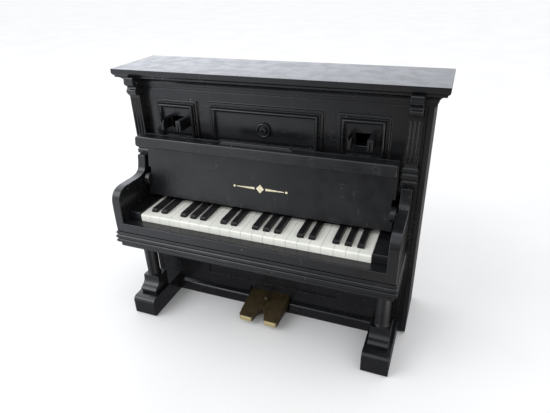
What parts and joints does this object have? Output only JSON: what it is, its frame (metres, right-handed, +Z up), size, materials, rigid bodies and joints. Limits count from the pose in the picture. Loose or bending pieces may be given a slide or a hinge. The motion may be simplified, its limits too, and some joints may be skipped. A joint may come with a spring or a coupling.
{
  "type": "miniature upright piano",
  "caption": "Toy upright piano with a cornice, sconce clips, fluted pilasters, fixed keys, brass-coloured pedals and a hinged key lid that closes over the keyboard.",
  "frame": {"origin": "on the floor, under the centre of the overall bounding box, with the lid open", "axes": "+Z up, -Y towards the player, +X towards the treble end of the keyboard"},
  "size_m": [0.118, 0.0492, 0.096],
  "materials": {
    "black_plastic": "satin black moulded plastic",
    "key_black": "black moulded plastic",
    "ivory_plastic": "ivory moulded plastic",
    "brass_plastic": "brass-coloured plastic, bright at the tips",
    "ornament_cream": "printed cream inlay"
  },
  "bodies": {
    "case": {"back_panel": "black_plastic", "black_keys": "key_black", "bottom_board": "black_plastic", "cheek_left": "black_plastic", "cheek_right": "black_plastic", "corbel_left": "black_plastic", "corbel_right": "black_plastic", "cornice": "black_plastic", "end_block_left": "black_plastic", "end_block_right": "black_plastic", "foot_left": "black_plastic", "foot_right": "black_plastic", "frame_centre": "black_plastic", "frame_left": "black_plastic", "frame_right": "black_plastic", "key_bed": "black_plastic", "keybed_moulding": "black_plastic", "leg_column_left": "black_plastic", "leg_column_right": "black_plastic", "lower_panel": "black_plastic", "pedal_block": "black_plastic", "pedal_boss": "brass_plastic", "pedal_left": "brass_plastic", "pedal_right": "brass_plastic", "pilaster_left": "black_plastic", "pilaster_right": "black_plastic", "plinth": "black_plastic", "rosette": "black_plastic", "sconce_clip_left": "black_plastic", "sconce_clip_right": "black_plastic", "side_panel_left": "black_plastic", "side_panel_right": "black_plastic", "upper_panel": "black_plastic", "white_keys": "ivory_plastic"},
    "lid": {"lid_board": "black_plastic", "lid_lip": "black_plastic", "lid_ornament": "ornament_cream", "lid_pin_left": "black_plastic", "lid_pin_right": "black_plastic", "lid_tab": "black_plastic"}
  },
  "joints": [
    {"name": "lid_hinge", "type": "hinge", "parent": "case", "child": "lid", "pos_m": [0, -0.00575, 0.055], "axis": [1, 0, 0], "range_deg": [0, 100]}
  ]
}
